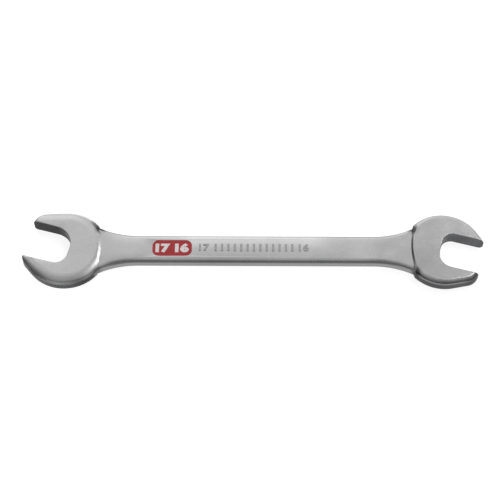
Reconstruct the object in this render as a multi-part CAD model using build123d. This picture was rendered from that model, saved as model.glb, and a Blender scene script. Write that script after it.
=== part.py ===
from build123d import *
from dataclasses import dataclass
from math import sqrt
import os

# Double open end wrench: one drop forging with a thin shank and two raised heads,
# and a red enamel badge that fills a shallow recess in the shank.
# Millimetres. X runs along the shank, the wrench lies on its heads at z = 0, and
# the origin is under the middle of its bounding box.


@dataclass
class Head:
    """Sizes of one head. Its own frame has its origin at the middle of the head's
    round back, X out through the open mouth and Y across to the left jaw."""

    nut_size: float
    radius: float
    disc_back: float
    left_tip_reach: float
    right_tip_reach: float
    tip_spread: float
    left_throat_radius: float
    right_throat_radius: float
    edge_round: float


# The larger head is at the -X end and opens up and to the left, the smaller one is
# at the +X end and opens down and to the right.
LARGE_HEAD = Head(
    nut_size=17.0,
    radius=17.9,
    disc_back=14.2,
    left_tip_reach=17.2,
    right_tip_reach=17.5,
    tip_spread=14.8,
    left_throat_radius=5.2,
    right_throat_radius=8.8,
    edge_round=1.8,
)
SMALL_HEAD = Head(
    nut_size=16.0,
    radius=17.35,
    disc_back=12.9,
    left_tip_reach=16.6,
    right_tip_reach=17.0,
    tip_spread=12.8,
    left_throat_radius=4.6,
    right_throat_radius=6.2,
    edge_round=2.4,
)
HEAD_SPACING = 162.7
HEAD_THICKNESS = 7.0

# The sides of the larger head are dressed to wide half ellipses. These would meet
# the middle plane SIDE_OUTSET outside the head's rounds. Along the jaws they run in
# towards the mouth at their own slopes, in degrees.
SIDE_ROUND = 5.2
SIDE_OUTSET = 0.4
LEFT_SIDE_SLOPE = 30.0
RIGHT_SIDE_SLOPE = 16.0

# Every jaw ends in a round nose. The noses lie a little to the right of the head's
# middle line, which leaves the right jaw thicker than the left one.
TIP_NOSE_RADIUS = 6.0
TIP_OFFSET = 0.8

# Towards the shank the raised round of each head ends in a wide arc. From there a
# slope runs down to a still wider arc on the shank's face, its foot line, so the
# slope is broadest at the sides.
DISC_BACK_RADIUS = 22.0
STEP_FOOT_RADIUS = 45.0
STEP_RUN = 1.2

# Jaw opening. NUT_REACH is how far a nut that sits fully in lies from the middle of
# the round back.
JAW_ANGLE = 15.0
JAW_CLEARANCE = 0.15
NUT_REACH = 8.0
THROAT_CLEARANCE = 0.1
JAW_EDGE_BREAK = 0.22

# Shank. Its flares run into a round that is a little smaller than the head.
SHANK_WIDTH = 13.35
SHANK_THICKNESS = 5.4
SHANK_EDGE_ROUND = 2.0
FLARE_RADIUS = 38.0
HEAD_PROUD = 1.5

# Badge and its recess
BADGE_LENGTH = 16.9
BADGE_WIDTH = 7.7
BADGE_CORNER_RADIUS = 2.7
BADGE_PLACE = -35.4
BADGE_SETTING = 0.05
BADGE_RECESS_DEPTH = 0.4
BADGE_THICKNESS = 0.35

# How far every cutting tool runs past what it cuts
OVERRUN = 5.0

# A rim's rounding, as a share of the plate's thickness, stays below this
LARGEST_ROUND_SHARE = 0.48

# In a hexagon, from the middle to a corner for a width across flats of one
CORNER_REACH = 1 / sqrt(3)

# Slope of the bevels along the opening, in degrees
BEVEL_ANGLE = 45.0


def slab(outline, thickness):
    """The outline as a plate that lies evenly above and below the middle plane."""
    return extrude(outline, amount=thickness / 2, both=True)


def rounded_slab(outline, thickness, edge_round):
    """A plate whose upper and lower rims are rounded all the way round."""
    plate = slab(outline, thickness)
    rims = plate.faces().filter_by(Axis.Z).edges()
    return fillet(rims, min(edge_round, LARGEST_ROUND_SHARE * thickness))


def head_outline(head):
    """Round back and two tapering jaws, before the opening is cut between them."""
    nose = Circle(TIP_NOSE_RADIUS)
    rims = Circle(head.radius).edges()
    for side, reach in ((1, head.left_tip_reach), (-1, head.right_tip_reach)):
        place = Pos(reach - TIP_NOSE_RADIUS, side * head.tip_spread / 2 - TIP_OFFSET)
        rims += (place * nose).edges()
    return Rot(0, 0, -JAW_ANGLE) * make_hull(rims)


def raised_round(head):
    """The space that the raised part of a head keeps to: a slope runs from each face
    down to the foot line on the shank, and between the foot lines it ends upright."""
    foot_height = SHANK_THICKNESS / 2
    foot_back = head.disc_back + STEP_RUN
    foot = Pos(STEP_FOOT_RADIUS - foot_back, 0) * Circle(STEP_FOOT_RADIUS)
    top = Pos(DISC_BACK_RADIUS - head.disc_back, 0) * Circle(DISC_BACK_RADIUS)
    upper = loft([Pos(0, 0, foot_height) * foot, Pos(0, 0, HEAD_THICKNESS / 2) * top], ruled=True)
    return slab(foot, SHANK_THICKNESS) + upper + mirror(upper, Plane.XY)


def dressed_space(head):
    """The space that a dressed head keeps to: a disc with a half elliptic rim, and
    two bars of the same section that follow the jaws. The sides of the head are widely
    rounded in it, and the jaws grow crisper towards their tips."""
    middle = head.radius + SIDE_OUTSET - SIDE_ROUND
    section = Pos(middle / 2, 0) * Rectangle(middle, HEAD_THICKNESS)
    section += Pos(middle, 0) * Ellipse(SIDE_ROUND, HEAD_THICKNESS / 2)
    section &= Pos(head.radius, 0) * Rectangle(2 * head.radius, HEAD_THICKNESS)
    disc = revolve(Plane.XZ * section, Axis.Z)
    left_bar = extrude(Plane.YZ * section, amount=2 * head.radius)
    right_bar = mirror(left_bar, Plane.XZ)
    jaws = Rot(0, 0, -LEFT_SIDE_SLOPE) * left_bar + Rot(0, 0, RIGHT_SIDE_SLOPE) * right_bar
    return disc + Rot(0, 0, -JAW_ANGLE) * jaws


def head_plate(head):
    """A head without its opening and its step, in the frame of the shank."""
    return rounded_slab(head_outline(head), HEAD_THICKNESS, head.edge_round)


def opening_outline(head):
    """Two parallel jaw faces and a throat that is rounder on the right jaw's side."""
    half_gap = (head.nut_size + JAW_CLEARANCE) / 2
    throat = NUT_REACH - head.nut_size * CORNER_REACH - THROAT_CLEARANCE
    mouth = head.right_tip_reach + OVERRUN
    rim = FilletPolyline(
        (mouth, half_gap),
        (throat, half_gap),
        (throat, -half_gap),
        (mouth, -half_gap),
        radius=[head.left_throat_radius, head.right_throat_radius],
    )
    outline = make_face(rim + Line((mouth, -half_gap), (mouth, half_gap)))
    return Rot(0, 0, -JAW_ANGLE) * outline


def opening_tool(head):
    """What is cut out between the jaws, with a bevel at both faces."""
    outline = opening_outline(head)
    tool = slab(outline, HEAD_THICKNESS + OVERRUN)
    bevel_start = HEAD_THICKNESS / 2 - JAW_EDGE_BREAK
    flared = extrude(outline, amount=2 * JAW_EDGE_BREAK, taper=-BEVEL_ANGLE)
    upper = Pos(0, 0, bevel_start) * flared
    return tool + upper + mirror(upper, Plane.XY)


def shank_half(head):
    """Outline of half the shank, from its middle out to the head's round back. Both
    edges run parallel, then flare in a long arc that runs smoothly into the back."""
    reach = HEAD_SPACING / 2
    back = Pos(reach, 0) * Circle(head.radius - HEAD_PROUD)
    half = Pos(reach / 2, 0) * Rectangle(reach, SHANK_WIDTH) + back
    corners = half.vertices().filter_by_position(Axis.X, 0, reach, inclusive=(False, False))
    return fillet(corners, FLARE_RADIUS)


def shank_blank():
    """The whole thin part, flares and all, with rounded rims."""
    outline = shank_half(SMALL_HEAD) + Rot(0, 0, 180) * shank_half(LARGE_HEAD)
    return rounded_slab(outline, SHANK_THICKNESS, SHANK_EDGE_ROUND)


def badge_outline(grow=0.0):
    """A rounded rectangle, drawn larger all round for its recess."""
    length = BADGE_LENGTH + 2 * grow
    width = BADGE_WIDTH + 2 * grow
    return Pos(BADGE_PLACE, 0) * RectangleRounded(length, width, BADGE_CORNER_RADIUS + grow)


def forged_wrench():
    """The forging: shank and heads in one, then the openings and the badge recess."""
    small_place = Pos(HEAD_SPACING / 2, 0)
    large_place = Rot(0, 0, 180) * small_place
    body = shank_blank()
    body += small_place * (head_plate(SMALL_HEAD) & raised_round(SMALL_HEAD))
    large_plate = head_plate(LARGE_HEAD) & dressed_space(LARGE_HEAD)
    body += large_place * (large_plate & raised_round(LARGE_HEAD))
    body -= small_place * opening_tool(SMALL_HEAD)
    body -= large_place * opening_tool(LARGE_HEAD)
    floor = SHANK_THICKNESS / 2 - BADGE_RECESS_DEPTH
    recess = extrude(badge_outline(BADGE_SETTING), amount=BADGE_RECESS_DEPTH + OVERRUN)
    return body - Pos(0, 0, floor) * recess


def enamel_badge():
    """The enamel that fills the recess."""
    floor = SHANK_THICKNESS / 2 - BADGE_RECESS_DEPTH
    return Pos(0, 0, floor) * extrude(badge_outline(), amount=BADGE_THICKNESS)


wrench = forged_wrench()
box = wrench.bounding_box()
to_origin = Pos(-box.center().X, -box.center().Y, -box.min.Z)

os.makedirs("parts", exist_ok=True)
export_step(to_origin * wrench, "parts/forged_wrench.step")
export_step(to_origin * enamel_badge(), "parts/enamel_badge.step")
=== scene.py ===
from math import cos, radians, sin

import bmesh
import bpy
from mathutils import Matrix, Vector


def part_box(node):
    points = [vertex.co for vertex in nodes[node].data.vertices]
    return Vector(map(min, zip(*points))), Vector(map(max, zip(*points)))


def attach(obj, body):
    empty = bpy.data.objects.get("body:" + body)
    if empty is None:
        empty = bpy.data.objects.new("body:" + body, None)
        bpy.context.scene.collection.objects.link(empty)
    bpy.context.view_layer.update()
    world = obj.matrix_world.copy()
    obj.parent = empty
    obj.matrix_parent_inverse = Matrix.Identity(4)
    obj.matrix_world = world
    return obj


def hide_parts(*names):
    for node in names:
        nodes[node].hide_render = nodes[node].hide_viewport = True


# Double open end wrench, 16 and 17 mm, about 200 mm long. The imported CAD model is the
# frame: metres, X along the shank, lying on both heads at z = 0. The far side is the
# one towards +Y and the near side the one towards -Y.
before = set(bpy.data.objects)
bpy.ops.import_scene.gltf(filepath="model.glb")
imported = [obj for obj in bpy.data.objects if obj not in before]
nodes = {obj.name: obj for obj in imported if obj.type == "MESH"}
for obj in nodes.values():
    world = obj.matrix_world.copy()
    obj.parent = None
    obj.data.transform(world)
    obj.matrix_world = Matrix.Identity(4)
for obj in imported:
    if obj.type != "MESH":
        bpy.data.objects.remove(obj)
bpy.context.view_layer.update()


# The forging: one drop forged steel bar with a thin shank and two thicker heads. Its
# faces are ground and satin plated, and painted shade makes its rounded rims darker.
# Round the middle of the heads' walls runs a dark band of painted shade.
forging_low, forging_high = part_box("forged_wrench")
MIDDLE_HEIGHT = (forging_low.z + forging_high.z) / 2
FACE_GREY = (0.53, 0.53, 0.535)
# Painted shade: the darker grey of the steep rims
RIM_SHADE_GREY = (0.27, 0.27, 0.275)
# Painted shade: a dark band round the middle of the heads' walls, its half height and its fade
WALL_SHADE_GREY = (0.075, 0.076, 0.08)
SHADE_BAND_HALF = 0.0013
SHADE_BAND_FADE = 0.0007
HEAD_START = (0.067, 0.069)
SMALL_HEAD_START = (0.066, 0.070)
SHARP_ANGLE = radians(25)
MERGE_DISTANCE = 0.000001

# How far a face looks up or down is its facing, 1 where it lies flat. The rims' painted
# shade begins at the first of these facings and is full at the second.
RIM_SHADE_FACING = (0.85, 0.55)

# The face of the shank is a little crowned. Its height falls with the fourth power of
# the distance from the middle line, and the crown fades out before the heads.
CROWN = 240000.0
CROWN_POWER = 4.0
CROWN_END = (0.054, 0.066)

# Unevenness of the finish: the span of the noise that counts, and the tones, the
# roughness and the depth that it gives
NOISE_SPAN = (0.3, 0.7)
SMUDGE_TONE = (0.95, 1.04)
GRAIN_SCALE = 3500.0
GRAIN_TONE = (0.94, 1.05)
ROUGH_SPAN = (0.25, 0.75)
FACE_ROUGHNESS = (0.22, 0.3)
SHADE_BAND_ROUGHER = 0.12
MARK_DEPTH = 0.000006
SMUDGE_SHARE = 2.0

# Painted shade darkens the corners between the heads and the shank: on both sides of
# the smaller head and on the far side of the larger one, and less on flat faces. The
# corners lie evenly round CORNER_MIDDLE.
CORNER_PLACE = (0.0677, 0.0103)
CORNER_MIDDLE = (0.0015, -0.0009)
CORNER_NEAR = 0.0008
CORNER_FAR = 0.0034
CORNER_FACING = (0.97, 1.0)
CORNER_ON_FLATS = 0.3
CORNER_SHADE_DEPTH = 0.78
STEP_CORNER_SHADE_DEPTH = 0.8

# Painted highlights and painted shade: where the finish is painted brighter or duller
# than elsewhere. Each zone adds a share to the full tone, and the share is the product
# of its fades. A fade names what is measured (along the wrench, out from its middle,
# across it, off the middle height or facing), where it starts and ends, and its value
# before and after.
PAINTED_LIGHT_ZONES = (
    # Painted shade: the smaller head is duller towards its near side,
    (("along", 0.066, 0.070, 0.0, 1.0), ("across", -0.018, 0.016, -0.16, 0.0)),
    # and painted shade darkens the tip of its near jaw.
    (
        ("along", 0.089, 0.094, 0.0, -0.6),
        ("across", -0.004, 0.0, 1.0, 0.0),
        ("facing", 0.975, 0.995, 1.0, 0.0),
    ),
    # A painted highlight runs along the wall of the larger head,
    (
        ("off middle", 0.0013, 0.0017, 0.0, 1.1),
        ("off middle", 0.0020, 0.0025, 1.0, 0.0),
        ("along", -0.070, -0.067, 1.0, 0.0),
        ("along", -0.094, -0.087, 0.0, 1.0),
    ),
    # but painted shade darkens the wall of its near jaw's tip, with a painted highlight on the
    # rim above.
    (
        ("along", -0.096, -0.088, 1.0, 0.0),
        ("across", -0.003, 0.0, 1.0, 0.0),
        ("facing", 0.6, 0.85, -0.55, 0.35),
        ("facing", 0.97, 0.998, 1.0, 0.0),
    ),
    # A painted highlight brightens the far half of the shank's face, most of all in the middle.
    (
        ("outward", 0.024, 0.036, 0.30, 0.05),
        ("outward", 0.045, 0.060, 1.0, 0.0),
        ("across", -0.0015, 0.0035, 0.0, 1.0),
    ),
    # A painted highlight brightens the rounded near rim of the shank where it leaves the face.
    (
        ("outward", 0.045, 0.060, 1.0, 0.0),
        ("across", -0.002, 0.0, 1.0, 0.0),
        ("facing", 0.78, 0.86, 0.0, 1.0),
        ("facing", 0.94, 0.99, 0.55, 0.0),
    ),
    # A thin line of painted shade runs along both edges of the shank.
    (
        ("outward", 0.058, 0.066, 1.0, 0.0),
        ("facing", 0.25, 0.4, 0.0, 1.0),
        ("facing", 0.6, 0.75, -0.55, 0.0),
    ),
    # Painted shade darkens the far rims, those of the shank most of all.
    (
        ("outward", 0.058, 0.066, -0.42, -0.15),
        ("across", 0.0, 0.002, 0.0, 1.0),
        ("facing", 0.86, 0.96, 1.0, 0.0),
    ),
    # Painted shade darkens both rims of the larger head where they meet the shank.
    (
        ("along", -0.0714, -0.0688, 0.0, 1.0),
        ("along", -0.0655, -0.0625, 1.0, 0.0),
        ("across", 0.007, 0.009, 0.0, 1.0),
        ("facing", 0.88, 0.97, -0.68, 0.0),
    ),
    (
        ("along", -0.0790, -0.0730, 0.0, 1.0),
        ("along", -0.0665, -0.0635, 1.0, 0.0),
        ("across", -0.0105, -0.0085, 1.0, 0.0),
        ("facing", 0.78, 0.94, -0.5, 0.0),
    ),
)


def maths(tree, operation, *values):
    """A Math node with the values set or linked, and its result."""
    node = tree.nodes.new("ShaderNodeMath")
    node.operation = operation
    for socket, value in zip(node.inputs, values):
        if isinstance(value, (int, float)):
            socket.default_value = value
        else:
            tree.links.new(value, socket)
    return node.outputs[0]


def product(tree, first, *others):
    """All the values multiplied together."""
    for other in others:
        first = maths(tree, "MULTIPLY", first, other)
    return first


def fade(tree, value, low, high, out_low=0.0, out_high=1.0):
    """A smooth step from out_low at low to out_high at high."""
    node = tree.nodes.new("ShaderNodeMapRange")
    node.interpolation_type = "SMOOTHSTEP"
    tree.links.new(value, node.inputs["Value"])
    node.inputs["From Min"].default_value = low
    node.inputs["From Max"].default_value = high
    node.inputs["To Min"].default_value = out_low
    node.inputs["To Max"].default_value = out_high
    return node.outputs["Result"]


def zone_tone(tree, measures, zones):
    """One, plus the share of each zone, multiplied together."""
    tones = []
    for zone in zones:
        fades = [fade(tree, measures[name], *steps) for name, *steps in zone]
        tones.append(maths(tree, "ADD", product(tree, *fades), 1.0))
    return product(tree, *tones)


def blend_colour(tree, share, first, second, kind="MIX"):
    """The first colour where share is 0 and the second where it is 1."""
    node = tree.nodes.new("ShaderNodeMix")
    node.data_type = "RGBA"
    node.blend_type = kind
    # Sockets 0, 6 and 7 are the share and the two colours
    sockets = (node.inputs[0], node.inputs[6], node.inputs[7])
    for socket, value in zip(sockets, (share, first, second)):
        if isinstance(value, (int, float)):
            socket.default_value = value
        elif isinstance(value, tuple):
            socket.default_value = (*value, 1.0)
        else:
            tree.links.new(value, socket)
    return node.outputs[2]


def noise(tree, vector, scale, detail=2.0, roughness=0.5):
    """The value of a noise, whose scale is set or linked."""
    node = tree.nodes.new("ShaderNodeTexNoise")
    node.inputs["Detail"].default_value = detail
    node.inputs["Roughness"].default_value = roughness
    tree.links.new(vector, node.inputs["Vector"])
    if isinstance(scale, float):
        node.inputs["Scale"].default_value = scale
    else:
        tree.links.new(scale, node.inputs["Scale"])
    return node.outputs["Fac"]


def split(tree, vector):
    """The three parts of a vector."""
    node = tree.nodes.new("ShaderNodeSeparateXYZ")
    tree.links.new(vector, node.inputs[0])
    return node.outputs


def new_material(name):
    """A new material, its tree and its main shader."""
    material = bpy.data.materials.new(name)
    material.use_nodes = True
    return material, material.node_tree, material.node_tree.nodes["Principled BSDF"]


def new_group(name, inputs, outputs):
    """An empty shader node group with the named sockets, its inputs and its outputs."""
    group = bpy.data.node_groups.new(name, "ShaderNodeTree")
    for way, sockets in (("INPUT", inputs), ("OUTPUT", outputs)):
        for label, kind in sockets:
            group.interface.new_socket(label, in_out=way, socket_type="NodeSocket" + kind)
    source = group.nodes.new("NodeGroupInput").outputs
    return group, source, group.nodes.new("NodeGroupOutput").inputs


def place_group(tree, group, values):
    """The group in a material, with each input set or linked."""
    node = tree.nodes.new("ShaderNodeGroup")
    node.node_tree = group
    for label, value in values.items():
        if isinstance(value, float):
            node.inputs[label].default_value = value
        elif isinstance(value, tuple):
            node.inputs[label].default_value = (*value, 1.0)
        else:
            tree.links.new(value, node.inputs[label])
    return node.outputs


def handling_wear():
    """Node group: the fine scratches and faint smudges of a tool that is used."""
    group, source, drain = new_group(
        "handling_wear",
        (
            ("Vector", "Vector"),
            ("Scratch Length", "Float"),
            ("Scratch Scale", "Float"),
            ("Smudge Scale", "Float"),
        ),
        (("Smudge", "Float"), ("Scratch", "Float")),
    )
    stretch = group.nodes.new("ShaderNodeCombineXYZ")
    group.links.new(source["Scratch Length"], stretch.inputs["X"])
    stretch.inputs["Y"].default_value = 1.0
    stretch.inputs["Z"].default_value = 1.0
    stretched = group.nodes.new("ShaderNodeVectorMath")
    stretched.operation = "MULTIPLY"
    group.links.new(source["Vector"], stretched.inputs[0])
    group.links.new(stretch.outputs[0], stretched.inputs[1])
    scratch = noise(group, stretched.outputs[0], source["Scratch Scale"], detail=3.0)
    group.links.new(scratch, drain["Scratch"])
    smudge = noise(group, source["Vector"], source["Smudge Scale"], detail=4.0, roughness=0.55)
    group.links.new(smudge, drain["Smudge"])
    return group


def add_wear(tree, place, scratch_length, scratch_scale, smudge_scale):
    """The smudges and the scratches of handling, for one material."""
    values = {
        "Vector": place,
        "Scratch Length": scratch_length,
        "Scratch Scale": scratch_scale,
        "Smudge Scale": smudge_scale,
    }
    wear = place_group(tree, wear_group, values)
    return wear["Smudge"], wear["Scratch"]


def add_bump(tree, shader, height, depth):
    """Lets a height of 1 stand out by the depth."""
    node = tree.nodes.new("ShaderNodeBump")
    node.inputs["Strength"].default_value = 1.0
    node.inputs["Distance"].default_value = depth
    tree.links.new(height, node.inputs["Height"])
    tree.links.new(node.outputs["Normal"], shader.inputs["Normal"])


def corner_painted_shade(tree, spot, facing, depth):
    """Painted shade: how much darker the corners between the heads and the shank are painted,
    below zero.
    """
    along = maths(tree, "ABSOLUTE", maths(tree, "SUBTRACT", spot["X"], CORNER_MIDDLE[0]))
    along = maths(tree, "SUBTRACT", along, CORNER_PLACE[0])
    across = maths(tree, "SUBTRACT", spot["Y"], CORNER_MIDDLE[1])
    near_side = product(tree, across, fade(tree, spot["X"], *SMALL_HEAD_START), -1.0)
    across = maths(tree, "MAXIMUM", across, near_side)
    across = maths(tree, "SUBTRACT", across, CORNER_PLACE[1])
    squares = maths(tree, "MULTIPLY_ADD", along, along, product(tree, across, across))
    near = fade(tree, maths(tree, "SQRT", squares), CORNER_NEAR, CORNER_FAR, -1.0, 0.0)
    return product(tree, near, fade(tree, facing, *CORNER_FACING, 1.0, CORNER_ON_FLATS), depth)


def forged_steel():
    """Node group: the tones of ground faces, with painted shade on rounded rims, round the
    heads' walls and in corners, and painted highlights and shade in zones.
    """
    group, source, drain = new_group(
        "forged_steel",
        (
            ("Position", "Vector"),
            ("Normal", "Vector"),
            ("Smudge", "Float"),
            ("Scratch", "Float"),
            ("Rim Shade Colour", "Color"),
            ("Corner Shade Depth", "Float"),
        ),
        (("Colour", "Color"), ("Roughness", "Float"), ("Height", "Float")),
    )
    spot = split(group, source["Position"])
    facing = maths(group, "ABSOLUTE", split(group, source["Normal"])["Z"])
    outward = maths(group, "ABSOLUTE", spot["X"])
    off_middle = maths(group, "ABSOLUTE", maths(group, "SUBTRACT", spot["Z"], MIDDLE_HEIGHT))
    measures = {
        "along": spot["X"],
        "outward": outward,
        "across": spot["Y"],
        "off middle": off_middle,
        "facing": facing,
    }

    # Ground face: a little uneven, with fine marks
    uneven = fade(group, source["Smudge"], *NOISE_SPAN, *SMUDGE_TONE)
    grain = fade(group, noise(group, source["Position"], GRAIN_SCALE), *NOISE_SPAN, *GRAIN_TONE)
    # Painted shade in the corners between the heads and the shank
    corner = corner_painted_shade(group, spot, facing, source["Corner Shade Depth"])
    corner = maths(group, "ADD", corner, 1.0)
    # The random unevenness and grain, times the painted corner shade and the painted highlights
    # and shade of the zones
    tone_with_painted_light = product(group, uneven, grain, corner, zone_tone(group, measures, PAINTED_LIGHT_ZONES))
    tone_with_painted_light_colour = group.nodes.new("ShaderNodeCombineColor")
    for socket in tone_with_painted_light_colour.inputs[:3]:
        group.links.new(tone_with_painted_light, socket)

    # Painted shade: the steep rims take the darker rim colour, by their facing
    rim_shade = fade(group, facing, *reversed(RIM_SHADE_FACING), 1.0, 0.0)
    # Painted shade: the dark band round the middle of the heads' walls, which is also a little
    # rougher
    shade_band_edge = SHADE_BAND_HALF + SHADE_BAND_FADE
    in_shade_band = fade(group, off_middle, SHADE_BAND_HALF, shade_band_edge, 1.0, 0.0)
    shade_band = product(group, in_shade_band, fade(group, outward, *HEAD_START), rim_shade)
    colour = blend_colour(group, rim_shade, FACE_GREY, source["Rim Shade Colour"])
    colour = blend_colour(group, shade_band, colour, WALL_SHADE_GREY)
    colour = blend_colour(group, 1.0, colour, tone_with_painted_light_colour.outputs[0], "MULTIPLY")
    group.links.new(colour, drain["Colour"])

    rough = fade(group, source["Smudge"], *ROUGH_SPAN, *FACE_ROUGHNESS)
    rough = maths(group, "MULTIPLY_ADD", shade_band, SHADE_BAND_ROUGHER, rough)
    group.links.new(rough, drain["Roughness"])

    marks = maths(group, "MULTIPLY_ADD", source["Smudge"], SMUDGE_SHARE, source["Scratch"])
    marks = maths(group, "MULTIPLY", marks, MARK_DEPTH)
    crown = maths(group, "POWER", maths(group, "ABSOLUTE", spot["Y"]), CROWN_POWER)
    crown = product(group, crown, -CROWN, fade(group, outward, *CROWN_END, 1.0, 0.0))
    group.links.new(maths(group, "ADD", marks, crown), drain["Height"])
    return group


wear_group = handling_wear()
steel_group = forged_steel()


def satin_chrome(name, rim_shade_grey, corner_shade_depth):
    """The satin finish of the forging, with painted shade on its steep faces."""
    material, tree, shader = new_material(name)
    coords = tree.nodes.new("ShaderNodeTexCoord").outputs
    smudge, scratch = add_wear(
        tree, coords["Object"], scratch_length=0.06, scratch_scale=2400.0, smudge_scale=70.0
    )
    values = {
        "Position": coords["Object"],
        "Normal": coords["Normal"],
        "Smudge": smudge,
        "Scratch": scratch,
        "Rim Shade Colour": rim_shade_grey,
        "Corner Shade Depth": corner_shade_depth,
    }
    steel = place_group(tree, steel_group, values)
    tree.links.new(steel["Colour"], shader.inputs["Base Color"])
    tree.links.new(steel["Roughness"], shader.inputs["Roughness"])
    shader.inputs["Metallic"].default_value = 1.0
    add_bump(tree, shader, steel["Height"], 1.0)
    return material


# The jaw faces and the throat between them are broached after forging, which leaves
# fine grooves from face to face. Painted shade makes them darker than the ground faces,
# those of the larger head most of all.
JAW_SHADE_GREY = (0.10, 0.101, 0.105)
JAW_DARKEST_SHARE = 0.8
JAW_LIGHTEST_SHARE = 1.2
LARGE_JAW_SHADE = (-0.05, 0.05, 0.75, 0.0)
JAW_SHADE_BLACK = (0.0, 0.0, 0.0)
GROOVE_SCALE = 1800.0
GROOVE_SQUASH = 0.05
GROOVE_DEPTH = 0.00002
JAW_SCRATCH_SHARE = 0.3
JAW_ROUGHNESS = (0.32, 0.5)
WEAR_SPAN = (0.2, 0.8)


def broached_jaw():
    """The grooved walls of the openings, darkened with painted shade."""
    material, tree, shader = new_material("broached_jaw")
    place = tree.nodes.new("ShaderNodeTexCoord").outputs["Object"]
    grooves = tree.nodes.new("ShaderNodeVectorMath")
    grooves.operation = "MULTIPLY"
    grooves.inputs[1].default_value = (1.0, 1.0, GROOVE_SQUASH)
    tree.links.new(place, grooves.inputs[0])
    groove = noise(tree, grooves.outputs[0], GROOVE_SCALE, detail=3.0)
    smudge, scratch = add_wear(
        tree, place, scratch_length=1.0, scratch_scale=1500.0, smudge_scale=160.0
    )
    # Painted shade: the walls of the openings are dark grey, with random lighter and darker
    # patches
    darkest = tuple(JAW_DARKEST_SHARE * part for part in JAW_SHADE_GREY)
    lightest = tuple(JAW_LIGHTEST_SHARE * part for part in JAW_SHADE_GREY)
    colour = blend_colour(tree, fade(tree, smudge, *NOISE_SPAN), darkest, lightest)
    # Painted shade: the larger head's opening goes nearly black
    large_jaw_shade = fade(tree, split(tree, place)["X"], *LARGE_JAW_SHADE)
    colour = blend_colour(tree, large_jaw_shade, colour, JAW_SHADE_BLACK)
    tree.links.new(colour, shader.inputs["Base Color"])
    shader.inputs["Metallic"].default_value = 1.0
    tree.links.new(fade(tree, groove, *WEAR_SPAN, *JAW_ROUGHNESS), shader.inputs["Roughness"])
    height = maths(tree, "MULTIPLY_ADD", scratch, JAW_SCRATCH_SHARE, groove)
    add_bump(tree, shader, height, GROOVE_DEPTH)
    return material


# Where the walls of the openings lie: on the smaller head (1) and the larger one (-1)
JAW_ANGLE = radians(15)
NUT_SIZES = {1: 0.016, -1: 0.017}
WALL_MARGIN = 0.0005
HEAD_MIDDLES = {1: Vector((0.0818, 0.0)), -1: Vector((-0.0809, 0.0))}
THROAT_BACK = -0.0022
MOUTH = 0.0185
WALL_FACING = 0.5

# Where the slopes between the raised rounds and the shank lie, and how they face
STEP_START = 0.0640
STEP_END = 0.0720
STEP_FACING = (0.75, 0.99)
STEP_ALONG_SHARE = 1.6


def on_step(polygon):
    """Whether a polygon belongs to a slope between a head's raised round and the shank."""
    along, across, facing = (abs(part) for part in polygon.normal)
    sloping = STEP_FACING[0] < facing < STEP_FACING[1] and along > STEP_ALONG_SHARE * across
    return STEP_START < abs(polygon.center.x) < STEP_END and sloping


def in_opening(polygon):
    """Whether a polygon belongs to the wall of a jaw opening."""
    side = 1 if polygon.center.x > 0 else -1
    out = Vector((side * cos(JAW_ANGLE), -side * sin(JAW_ANGLE)))
    aside = Vector((-out.y, out.x))
    reach = polygon.center.xy - HEAD_MIDDLES[side]
    half_gap = NUT_SIZES[side] / 2 + WALL_MARGIN
    between = THROAT_BACK < reach.dot(out) < MOUTH and abs(reach.dot(aside)) < half_gap
    return between and abs(polygon.normal.z) < WALL_FACING


def add_object(name, data):
    """A new object in the scene, at the world's origin."""
    piece = bpy.data.objects.new(name, data)
    bpy.context.scene.collection.objects.link(piece)
    return piece


def dressed_copy(name, materials):
    """A closed, smooth shaded copy of a CAD node."""
    mesh = nodes[name].data.copy()
    mesh.name = name + "_finish"
    mesh.materials.clear()
    for material in materials:
        mesh.materials.append(material)
    work = bmesh.new()
    work.from_mesh(mesh)
    bmesh.ops.remove_doubles(work, verts=work.verts, dist=MERGE_DISTANCE)
    work.to_mesh(mesh)
    work.free()
    mesh.shade_smooth()
    mesh.set_sharp_from_angle(angle=SHARP_ANGLE)
    piece = add_object(name + "_finish", mesh)
    weigh = piece.modifiers.new("face_weights", "WEIGHTED_NORMAL")
    weigh.mode = "FACE_AREA"
    weigh.keep_sharp = True
    return piece


finishes = (
    satin_chrome("satin_chrome", RIM_SHADE_GREY, CORNER_SHADE_DEPTH),
    broached_jaw(),
    satin_chrome("step_chrome", FACE_GREY, STEP_CORNER_SHADE_DEPTH),
)
forging = dressed_copy("forged_wrench", finishes)
for polygon in forging.data.polygons:
    if in_opening(polygon):
        polygon.material_index = 1
    elif on_step(polygon):
        polygon.material_index = 2
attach(forging, "root")
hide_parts("forged_wrench")


# The badge: red enamel melted into a shallow recess near the larger head. It is
# smooth and glossy, and a little deeper in tone in places.
ENAMEL_RED = (0.53, 0.016, 0.024)
ENAMEL_DEEP = (0.43, 0.010, 0.016)
ENAMEL_ROUGHNESS = (0.22, 0.34)
ENAMEL_IOR = 1.5
ENAMEL_WAVE_DEPTH = 0.00001


def red_enamel():
    """Glossy red, a little deeper in places."""
    material, tree, shader = new_material("red_enamel")
    place = tree.nodes.new("ShaderNodeTexCoord").outputs["Object"]
    smudge, scratch = add_wear(
        tree, place, scratch_length=0.3, scratch_scale=1500.0, smudge_scale=400.0
    )
    colour = blend_colour(tree, fade(tree, smudge, *NOISE_SPAN), ENAMEL_RED, ENAMEL_DEEP)
    tree.links.new(colour, shader.inputs["Base Color"])
    rough = fade(tree, scratch, *WEAR_SPAN, *ENAMEL_ROUGHNESS)
    tree.links.new(rough, shader.inputs["Roughness"])
    shader.inputs["IOR"].default_value = ENAMEL_IOR
    add_bump(tree, shader, smudge, ENAMEL_WAVE_DEPTH)
    return material


badge = dressed_copy("enamel_badge", (red_enamel(),))
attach(badge, "root")
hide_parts("enamel_badge")


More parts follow.
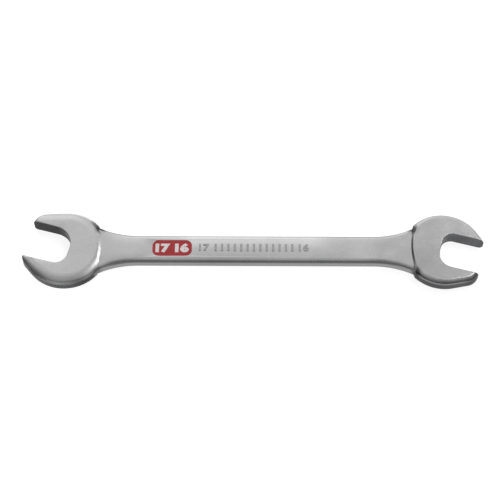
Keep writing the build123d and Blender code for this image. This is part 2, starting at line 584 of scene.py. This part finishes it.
# Size numbers on the badge: white enamel figures, fired on so that they stand a hair
# above the red. The larger head's number is at the left, where that head is.
BADGE_FIGURE_HEIGHT = 0.0046
BADGE_FIGURE_WIDTH = 0.0143
BADGE_FIGURE_DEPTH = 0.0004
BADGE_FIGURE_LIFT = 0.00008
BADGE_FIGURE_WEIGHT = 0.07
FIGURE_WHITE = (1.0, 0.93, 0.92)
FIGURE_GREY_SHARE = 0.86
FIGURE_ROUGHNESS = (0.25, 0.4)
FIGURE_CURVE_STEPS = 6


def figures(name, text, height, width, depth, weight=0.0):
    """Flat topped figures of the given size, centred on the origin, as a mesh."""
    curve = bpy.data.curves.new(name, "FONT")
    curve.body = text
    curve.align_x = "CENTER"
    curve.align_y = "CENTER"
    curve.offset = weight
    # One unit deep, before the sizes are set below
    curve.extrude = 0.5
    curve.resolution_u = FIGURE_CURVE_STEPS
    draft = add_object(name + "_draft", curve)
    bpy.context.view_layer.update()
    ready = draft.evaluated_get(bpy.context.evaluated_depsgraph_get())
    mesh = bpy.data.meshes.new_from_object(ready)
    bpy.data.objects.remove(draft)
    mesh.name = name
    corners = [v.co for v in mesh.vertices]
    low = Vector([min(c[i] for c in corners) for i in range(3)])
    high = Vector([max(c[i] for c in corners) for i in range(3)])
    size = high - low
    mesh.transform(Matrix.Translation(-(low + high) / 2))
    mesh.transform(Matrix.Diagonal((width / size.x, height / size.y, depth / size.z, 1.0)))
    return mesh


def white_enamel():
    """Glossy white, a little greyer in places."""
    material, tree, shader = new_material("white_enamel")
    place = tree.nodes.new("ShaderNodeTexCoord").outputs["Object"]
    smudge, scratch = add_wear(
        tree, place, scratch_length=0.3, scratch_scale=1500.0, smudge_scale=900.0
    )
    greyer = tuple(FIGURE_GREY_SHARE * part for part in FIGURE_WHITE)
    colour = blend_colour(tree, fade(tree, smudge, *NOISE_SPAN), FIGURE_WHITE, greyer)
    tree.links.new(colour, shader.inputs["Base Color"])
    rough = fade(tree, scratch, *WEAR_SPAN, *FIGURE_ROUGHNESS)
    tree.links.new(rough, shader.inputs["Roughness"])
    return material


badge_low, badge_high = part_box("enamel_badge")
badge_middle = (badge_low + badge_high) / 2
figure_middle = badge_high.z + BADGE_FIGURE_LIFT - BADGE_FIGURE_DEPTH / 2
mesh = figures(
    "badge_figures",
    "17 16",
    BADGE_FIGURE_HEIGHT,
    BADGE_FIGURE_WIDTH,
    BADGE_FIGURE_DEPTH,
    BADGE_FIGURE_WEIGHT,
)
mesh.transform(Matrix.Translation((badge_middle.x, badge_middle.y, figure_middle)))
mesh.materials.append(white_enamel())
badge_figures = add_object("badge_figures", mesh)
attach(badge_figures, "root")


# Raised size numbers on the shank, each towards its head, forged with the bar and
# joined by a row of short raised ribs.
SHANK_FACE = 0.0062
RAISED = 0.00022
SUNK = 0.0003
LEGEND_LEFT = -0.0234
LEGEND_RIGHT = 0.0239
LEGEND_MIDDLE = 0.0003
LEGEND_HEIGHT = 0.0034
NUMBER_WIDTH = 0.0044
NUMBER_WEIGHT = 0.03
RIB_WIDTH = 0.00095
RIB_COUNT = 13
# Painted shade: the dark grey of the raised sides
RAISED_SIDE_SHADE_GREY = (0.09, 0.09, 0.094)
RAISED_TOP_GREY = (0.37, 0.37, 0.375)
RAISED_FACING = (0.3, 0.9)
RAISED_ROUGHNESS = (0.3, 0.42)
RAISED_MARK_DEPTH = 0.00001


def rib_row():
    """Node tree: a row of equal ribs from Start to End."""
    tree = bpy.data.node_groups.new("rib_row", "GeometryNodeTree")
    face = tree.interface
    face.new_socket("Geometry", in_out="OUTPUT", socket_type="NodeSocketGeometry")
    inputs = (
        ("Count", "NodeSocketInt"),
        ("Start", "NodeSocketVector"),
        ("End", "NodeSocketVector"),
        ("Rib Width", "NodeSocketFloat"),
        ("Rib Length", "NodeSocketFloat"),
        ("Rib Depth", "NodeSocketFloat"),
        ("Material", "NodeSocketMaterial"),
    )
    for name, kind in inputs:
        face.new_socket(name, in_out="INPUT", socket_type=kind)
    source = tree.nodes.new("NodeGroupInput").outputs
    drain = tree.nodes.new("NodeGroupOutput").inputs
    row = tree.nodes.new("GeometryNodeMeshLine")
    row.mode = "END_POINTS"
    tree.links.new(source["Count"], row.inputs["Count"])
    tree.links.new(source["Start"], row.inputs["Start Location"])
    tree.links.new(source["End"], row.inputs["Offset"])
    size = tree.nodes.new("ShaderNodeCombineXYZ")
    tree.links.new(source["Rib Width"], size.inputs["X"])
    tree.links.new(source["Rib Length"], size.inputs["Y"])
    tree.links.new(source["Rib Depth"], size.inputs["Z"])
    rib = tree.nodes.new("GeometryNodeMeshCube")
    for axis, count in (("X", 2), ("Y", 3), ("Z", 2)):
        rib.inputs["Vertices " + axis].default_value = count
    tree.links.new(size.outputs[0], rib.inputs["Size"])
    spread = tree.nodes.new("GeometryNodeInstanceOnPoints")
    tree.links.new(row.outputs["Mesh"], spread.inputs["Points"])
    tree.links.new(rib.outputs["Mesh"], spread.inputs["Instance"])
    solid = tree.nodes.new("GeometryNodeRealizeInstances")
    tree.links.new(spread.outputs["Instances"], solid.inputs["Geometry"])
    finish = tree.nodes.new("GeometryNodeSetMaterial")
    tree.links.new(solid.outputs["Geometry"], finish.inputs["Geometry"])
    tree.links.new(source["Material"], finish.inputs["Material"])
    tree.links.new(finish.outputs["Geometry"], drain["Geometry"])
    return tree


def raised_chrome():
    """Lighter tops, and sides darkened with painted shade, of what stands up from the shank."""
    material, tree, shader = new_material("raised_chrome")
    coords = tree.nodes.new("ShaderNodeTexCoord").outputs
    smudge, scratch = add_wear(
        tree, coords["Object"], scratch_length=0.3, scratch_scale=2400.0, smudge_scale=500.0
    )
    facing = maths(tree, "ABSOLUTE", split(tree, coords["Normal"])["Z"])
    # Painted shade on the sides of the raised numbers and ribs, by their facing
    on_top = fade(tree, facing, *RAISED_FACING)
    colour = blend_colour(tree, on_top, RAISED_SIDE_SHADE_GREY, RAISED_TOP_GREY)
    tree.links.new(colour, shader.inputs["Base Color"])
    shader.inputs["Metallic"].default_value = 1.0
    rough = fade(tree, smudge, *NOISE_SPAN, *RAISED_ROUGHNESS)
    tree.links.new(rough, shader.inputs["Roughness"])
    add_bump(tree, shader, scratch, RAISED_MARK_DEPTH)
    return material


raised_finish = raised_chrome()
raised_depth = RAISED + SUNK
legend_level = SHANK_FACE + (RAISED - SUNK) / 2
for name, text, middle in (
    ("size_number_17", "17", LEGEND_LEFT + NUMBER_WIDTH / 2),
    ("size_number_16", "16", LEGEND_RIGHT - NUMBER_WIDTH / 2),
):
    mesh = figures(name, text, LEGEND_HEIGHT, NUMBER_WIDTH, raised_depth, NUMBER_WEIGHT)
    mesh.transform(Matrix.Translation((middle, LEGEND_MIDDLE, legend_level)))
    mesh.materials.append(raised_finish)
    number = add_object(name, mesh)
    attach(number, "root")

holder = add_object("rib_row_draft", bpy.data.meshes.new("rib_row_draft"))
row = holder.modifiers.new("rib_row", "NODES")
row.node_group = rib_row()
gap = (LEGEND_RIGHT - LEGEND_LEFT - 2 * NUMBER_WIDTH) / (RIB_COUNT + 1)
sizes = {
    "Count": RIB_COUNT,
    "Start": (LEGEND_LEFT + NUMBER_WIDTH + gap, LEGEND_MIDDLE, legend_level),
    "End": (LEGEND_RIGHT - NUMBER_WIDTH - gap, LEGEND_MIDDLE, legend_level),
    "Rib Width": RIB_WIDTH,
    "Rib Length": LEGEND_HEIGHT,
    "Rib Depth": raised_depth,
    "Material": raised_finish,
}
for item in row.node_group.interface.items_tree:
    if item.in_out == "INPUT":
        row[item.identifier] = sizes[item.name]
holder.update_tag()
bpy.context.view_layer.update()
ready = holder.evaluated_get(bpy.context.evaluated_depsgraph_get())
mesh = bpy.data.meshes.new_from_object(ready)
bpy.data.objects.remove(holder)
mesh.name = "legend_ribs"
ribs = add_object("legend_ribs", mesh)
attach(ribs, "root")


# The table top: a plain white sheet under the wrench, which keeps its soft shadow. It
# lies a tenth of a millimetre below the heads.
FLOOR_SIZE = 4.4
FLOOR_DROP = 0.0001
FLOOR_WHITE = (0.52, 0.52, 0.52)
FLOOR_GLOW = 0.82

mesh = bpy.data.meshes.new("floor")
half = FLOOR_SIZE / 2
corners = ((-half, -half), (half, -half), (half, half), (-half, half))
mesh.from_pydata([(*corner, -FLOOR_DROP) for corner in corners], [], [(0, 1, 2, 3)])
floor = add_object("floor", mesh)
material = bpy.data.materials.new("white_sheet")
material.use_nodes = True
tree = material.node_tree
tree.nodes.clear()
matt = tree.nodes.new("ShaderNodeBsdfDiffuse")
matt.inputs["Color"].default_value = (*FLOOR_WHITE, 1.0)
glow = tree.nodes.new("ShaderNodeEmission")
path = tree.nodes.new("ShaderNodeLightPath").outputs
seen = maths(tree, "MAXIMUM", path["Is Camera Ray"], path["Is Glossy Ray"])
seen = maths(tree, "MAXIMUM", seen, path["Is Transmission Ray"])
tree.links.new(maths(tree, "MULTIPLY", seen, FLOOR_GLOW), glow.inputs["Strength"])
both = tree.nodes.new("ShaderNodeAddShader")
tree.links.new(matt.outputs[0], both.inputs[0])
tree.links.new(glow.outputs[0], both.inputs[1])
out = tree.nodes.new("ShaderNodeOutputMaterial")
tree.links.new(both.outputs[0], out.inputs["Surface"])
mesh.materials.append(material)


# The studio: a pale room that is darkest in front of the table and brightest behind
# it, a wide soft box high above and a narrower one high at the right. The stops give
# the room's brightness from the front (0) to the back (1).
ROOM_STOPS = (
    (0.0, 0.22),
    (0.1, 0.25),
    (0.42, 0.29),
    (0.6, 0.40),
    (0.68, 0.62),
    (0.74, 0.86),
    (0.84, 1.12),
    (1.0, 1.25),
)

# In front, the room grows brighter to the right and a little to the left: there the
# stops are read further back.
RISE_START = 0.12
RIGHT_RISE = 2.2
LEFT_RISE = 0.35
LEFT_RISE_END = (-0.8, -0.6)
RISE_BACK_END = (0.3, 0.5)

# Dark curtains: behind on the left, and at both ends of the room. The right half is a
# little darker than the left one.
ROOM_ZONES = (
    (("X", -0.75, -0.25, -0.78, 0.0), ("Y", 0.12, 0.32, 0.0, 1.0)),
    (("X", -0.75, -0.5, -0.65, 0.0),),
    (("X", -0.07, 0.09, 0.08, -0.19),),
    (("X", 0.45, 0.8, 0.0, -0.6),),
)

# Each soft box: its name, place, width, height and power
SOFT_BOXES = (
    ("soft_box_above", (0.0, -0.08, 1.0), 1.3, 0.9, 0.72),
    ("soft_box_high_right", (0.53, 0.33, 0.68), 0.27, 0.66, 1.4),
)


def beyond(tree, value, start):
    """How far a value lies beyond the start, and zero before it."""
    return maths(tree, "MAXIMUM", maths(tree, "SUBTRACT", value, start), 0.0)


world = bpy.data.worlds.new("pale_room")
world.use_nodes = True
bpy.context.scene.world = world
tree = world.node_tree
background = tree.nodes["Background"]
way = split(tree, tree.nodes.new("ShaderNodeTexCoord").outputs["Generated"])
ramp = tree.nodes.new("ShaderNodeValToRGB")
for place, brightness in ROOM_STOPS[1:-1]:
    ramp.color_ramp.elements.new(place)
for element, (place, brightness) in zip(ramp.color_ramp.elements, ROOM_STOPS):
    element.position = place
    element.color = (brightness, brightness, brightness, 1.0)
rightward = maths(tree, "MULTIPLY", beyond(tree, way["X"], RISE_START), RIGHT_RISE)
leftward = beyond(tree, maths(tree, "MULTIPLY", way["X"], -1.0), RISE_START)
leftward = product(tree, leftward, fade(tree, way["X"], *LEFT_RISE_END), LEFT_RISE)
sideways = maths(tree, "ADD", rightward, leftward)
sideways = product(tree, sideways, fade(tree, way["Y"], *RISE_BACK_END, 1.0, 0.0))
backward = maths(tree, "ADD", way["Y"], sideways)
# From -1 to 1 in the room to 0 to 1 on the ramp
tree.links.new(maths(tree, "MULTIPLY_ADD", backward, 0.5, 0.5), ramp.inputs[0])
tree.links.new(ramp.outputs[0], background.inputs["Color"])
tree.links.new(zone_tone(tree, way, ROOM_ZONES), background.inputs["Strength"])

for name, place, width, height, power in SOFT_BOXES:
    light = bpy.data.lights.new(name, "AREA")
    light.shape = "RECTANGLE"
    light.size = width
    light.size_y = height
    light.energy = power
    lamp = add_object(name, light)
    lamp.location = place
    lamp.rotation_mode = "QUATERNION"
    lamp.rotation_quaternion = (-Vector(place)).to_track_quat("-Z", "Y")


# The camera looks down from the front, on to the middle of the wrench.
CAMERA_ELEVATION = radians(60.4)
CAMERA_TURN = radians(0.24)
CAMERA_DISTANCE = 0.603
AIM = Vector((-0.00147, 0.00197, 0.00113))
LENS = 100.07
SENSOR = 36.0
CLIP_START = 0.01

level = cos(CAMERA_ELEVATION)
back = Vector((level * sin(CAMERA_TURN), -level * cos(CAMERA_TURN), sin(CAMERA_ELEVATION)))
camera = add_object("camera", bpy.data.cameras.new("camera"))
camera.data.sensor_width = SENSOR
camera.data.lens = LENS
camera.data.clip_start = CLIP_START
camera.location = AIM + back * CAMERA_DISTANCE
camera.rotation_mode = "QUATERNION"
camera.rotation_quaternion = (-back).to_track_quat("-Z", "Y")
bpy.context.scene.camera = camera

bpy.context.scene.view_settings.view_transform = "Standard"
